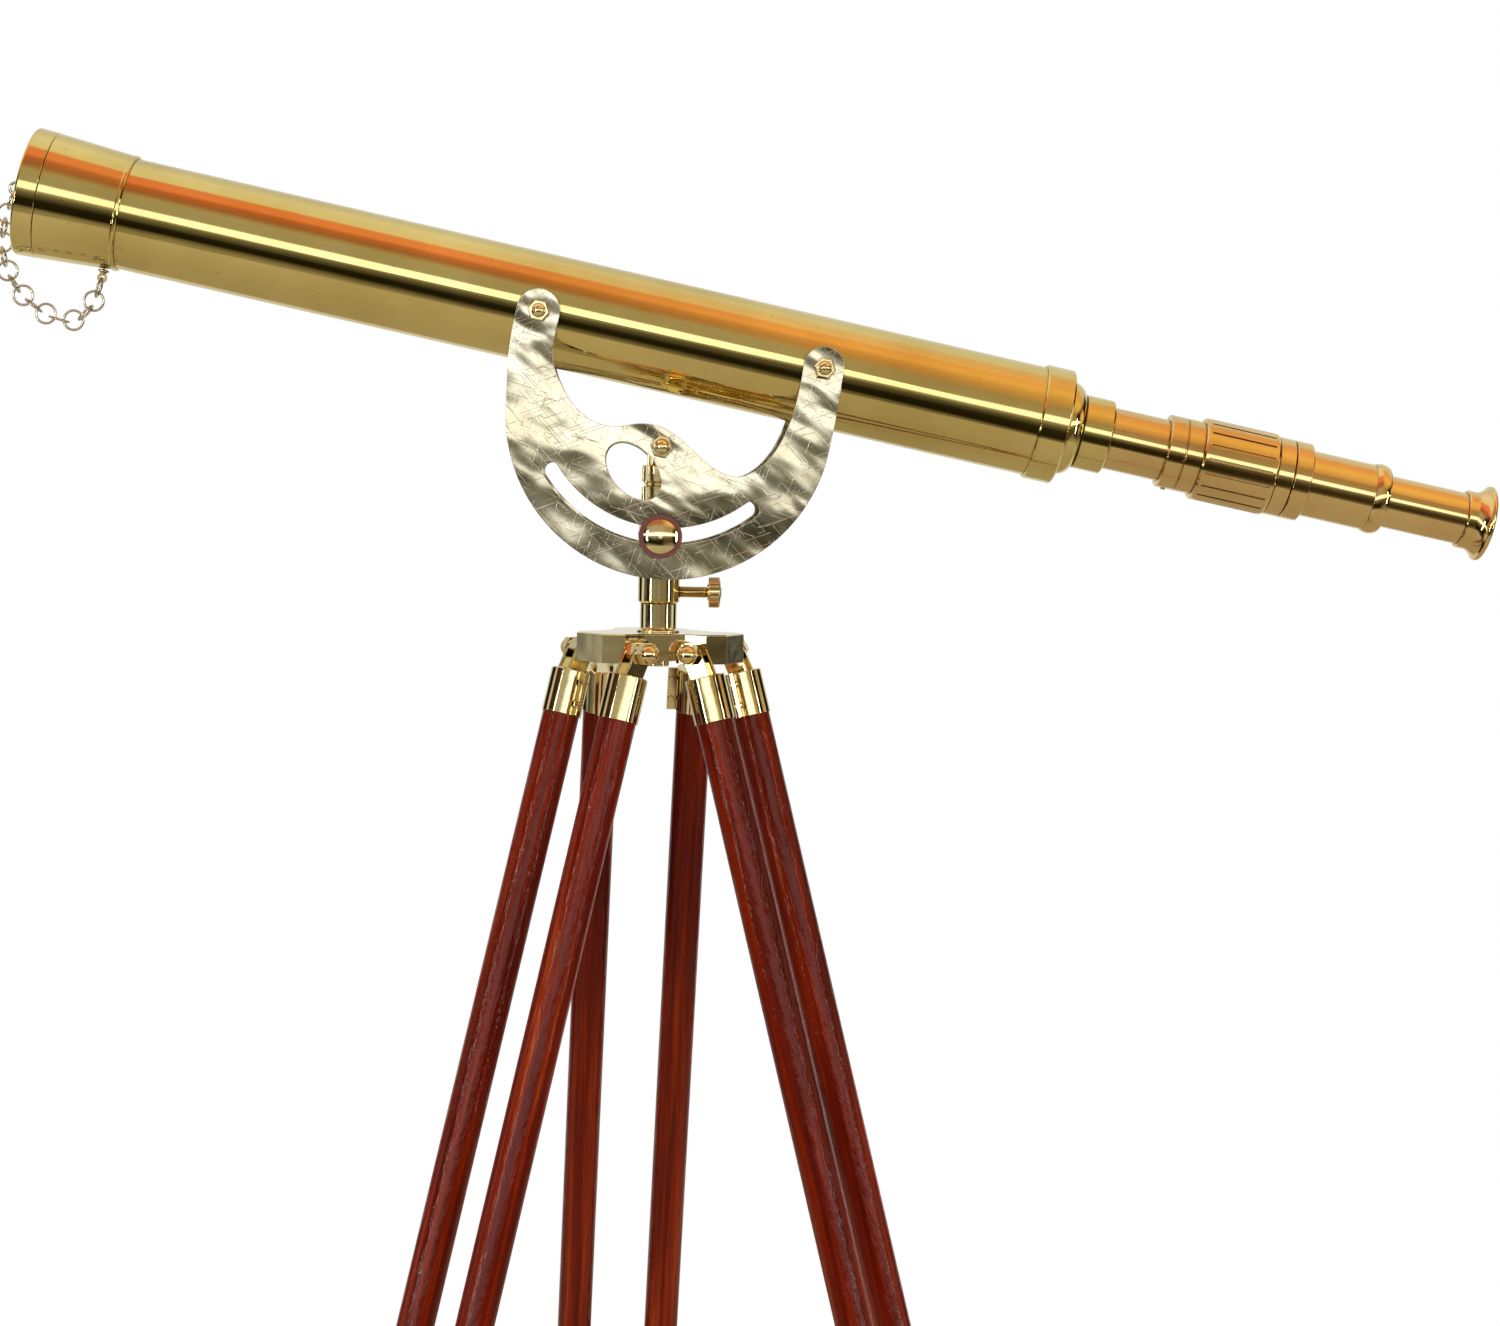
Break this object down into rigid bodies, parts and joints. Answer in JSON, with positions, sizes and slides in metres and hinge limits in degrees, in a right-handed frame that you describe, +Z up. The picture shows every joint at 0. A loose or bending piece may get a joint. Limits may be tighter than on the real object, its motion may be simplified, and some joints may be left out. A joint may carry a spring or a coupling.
{
  "type": "brass telescope",
  "caption": "Polished brass telescope with pull-out eyepiece tubes, held by crescent side plates on a turning post, on a tripod of mahogany rods.",
  "frame": {"origin": "centre of the footprint box, on the floor the three feet stand on", "axes": "+X from the objective toward the eyepiece, +Y along the tilt bolt away from the front side plate, +Z up"},
  "size_m": [1.0418, 0.591, 1.5053],
  "materials": {
    "brass_polished": "polished",
    "brass_plate": "polished, scratched",
    "brass_dull": "satin",
    "blackened_metal": "matte",
    "optical_glass": "clear",
    "fibre": "matte",
    "mahogany": "varnished"
  },
  "bodies": {
    "tripod": {"tripod_head": "brass_polished", "tripod_post": "brass_polished", "post_nut": "brass_polished", "leg_pivot_bolts": "brass_polished", "leg_pivot_spacers": "brass_polished"},
    "yoke": {"yoke_post": "brass_polished", "plate_spacers": "brass_polished", "clamp_bolt": "brass_polished", "fibre_washers": "fibre"},
    "clamp_knob_body": {"clamp_knob": "brass_polished"},
    "thumb_screw_body": {"thumb_screw": "brass_polished"},
    "telescope": {"barrel_tube": "brass_polished", "objective_cell": "brass_polished", "flint_lens": "optical_glass", "crown_lens": "optical_glass", "objective_retaining_ring": "brass_dull", "barrel_baffles": "blackened_metal", "rear_end_ring": "brass_polished", "draw_collar": "brass_polished", "chain_stud": "brass_polished", "cap_chain": "brass_polished", "front_side_plate": "brass_plate", "rear_side_plate": "brass_plate", "horn_studs": "brass_polished", "acorn_nuts": "brass_polished", "pivot_bolt": "brass_polished"},
    "cap": {"lens_cap": "brass_polished", "cap_eye": "brass_polished"},
    "focus_draw": {"draw_tube": "brass_polished", "erector_cell": "brass_dull", "erector_lenses": "optical_glass", "grip_front_ring": "brass_polished", "grip_set_screw": "brass_polished", "fluted_grip": "brass_polished", "grip_rear_ring": "brass_polished", "sleeve_lock_ring": "brass_polished", "eyepiece_sleeve": "brass_polished", "sleeve_bead": "brass_polished"},
    "eyepiece": {"eyepiece_draw_tube": "brass_polished", "eyecup": "brass_polished", "eye_lens": "optical_glass", "field_lens": "optical_glass"},
    "leg_1_upper": {"leg_1_ferrules": "brass_polished", "leg_1_upper_rods": "mahogany", "leg_1_lower_bracket": "brass_polished"},
    "leg_1_lower": {"leg_1_lower_rod": "mahogany", "leg_1_foot": "brass_polished"},
    "leg_1_screw": {"leg_1_clamp_screw": "brass_polished"},
    "leg_2_upper": {"leg_2_ferrules": "brass_polished", "leg_2_upper_rods": "mahogany", "leg_2_lower_bracket": "brass_polished"},
    "leg_2_lower": {"leg_2_lower_rod": "mahogany", "leg_2_foot": "brass_polished"},
    "leg_2_screw": {"leg_2_clamp_screw": "brass_polished"},
    "leg_3_upper": {"leg_3_ferrules": "brass_polished", "leg_3_upper_rods": "mahogany", "leg_3_lower_bracket": "brass_polished"},
    "leg_3_lower": {"leg_3_lower_rod": "mahogany", "leg_3_foot": "brass_polished"},
    "leg_3_screw": {"leg_3_clamp_screw": "brass_polished"}
  },
  "joints": [
    {"name": "azimuth_turn", "type": "hinge", "parent": "tripod", "child": "yoke", "pos_m": [-0.06188, -0.07322, 1.18963], "axis": [0, 0, 1], "continuous": true},
    {"name": "elevation_tilt", "type": "hinge", "parent": "yoke", "child": "telescope", "pos_m": [-0.06188, -0.07322, 1.29693], "axis": [0, 1, 0], "range_deg": [-34, 19]},
    {"name": "clamp_knob_turn", "type": "hinge", "parent": "yoke", "child": "clamp_knob_body", "pos_m": [-0.06188, -0.02322, 1.23613], "axis": [0, 1, 0], "range_deg": [0, 720]},
    {"name": "thumb_screw_turn", "type": "hinge", "parent": "yoke", "child": "thumb_screw_body", "pos_m": [-0.03188, -0.07322, 1.19733], "axis": [1, 0, 0], "range_deg": [0, 720]},
    {"name": "cap_slide", "type": "slide", "parent": "telescope", "child": "cap", "axis": [-0.9796, 0, 0.2011], "range_m": [0, 0.022], "deforming": ["cap_chain"]},
    {"name": "focus_slide", "type": "slide", "parent": "telescope", "child": "focus_draw", "axis": [0.9796, 0, -0.2011], "range_m": [-0.038, 0.06]},
    {"name": "eyepiece_slide", "type": "slide", "parent": "focus_draw", "child": "eyepiece", "axis": [0.9796, 0, -0.2011], "range_m": [-0.048, 0.01]},
    {"name": "leg_1_spread", "type": "hinge", "parent": "tripod", "child": "leg_1_upper", "pos_m": [-0.06624, -0.03175, 1.15713], "axis": [-0.9945, -0.1045, 0], "range_deg": [0, 15.2]},
    {"name": "leg_1_extend", "type": "slide", "parent": "leg_1_upper", "child": "leg_1_lower", "axis": [-0.0274, 0.2608, -0.965], "range_m": [-0.4, 0.02]},
    {"name": "leg_1_clamp_turn", "type": "hinge", "parent": "leg_1_upper", "child": "leg_1_screw", "pos_m": [-0.08297, 0.12744, 0.58094], "axis": [-0.1009, 0.9597, 0.2622], "range_deg": [0, 720]},
    {"name": "leg_2_spread", "type": "hinge", "parent": "tripod", "child": "leg_2_upper", "pos_m": [-0.09562, -0.09773, 1.15713], "axis": [0.5878, -0.809, 0], "range_deg": [0, 15.2]},
    {"name": "leg_2_extend", "type": "slide", "parent": "leg_2_upper", "child": "leg_2_lower", "axis": [-0.2121, -0.1541, -0.965], "range_m": [-0.4, 0.02]},
    {"name": "leg_2_clamp_turn", "type": "hinge", "parent": "leg_2_upper", "child": "leg_2_screw", "pos_m": [-0.22512, -0.19182, 0.58094], "axis": [-0.7807, -0.5672, 0.2622], "range_deg": [0, 720]},
    {"name": "leg_3_spread", "type": "hinge", "parent": "tripod", "child": "leg_3_upper", "pos_m": [-0.02379, -0.09018, 1.15713], "axis": [0.4067, 0.9135, 0], "range_deg": [0, 15.2]},
    {"name": "leg_3_extend", "type": "slide", "parent": "leg_3_upper", "child": "leg_3_lower", "axis": [0.2395, -0.1066, -0.965], "range_m": [-0.4, 0.02]},
    {"name": "leg_3_clamp_turn", "type": "hinge", "parent": "leg_3_upper", "child": "leg_3_screw", "pos_m": [0.12244, -0.15529, 0.58094], "axis": [0.8816, -0.3925, 0.2622], "range_deg": [0, 720]}
  ]
}
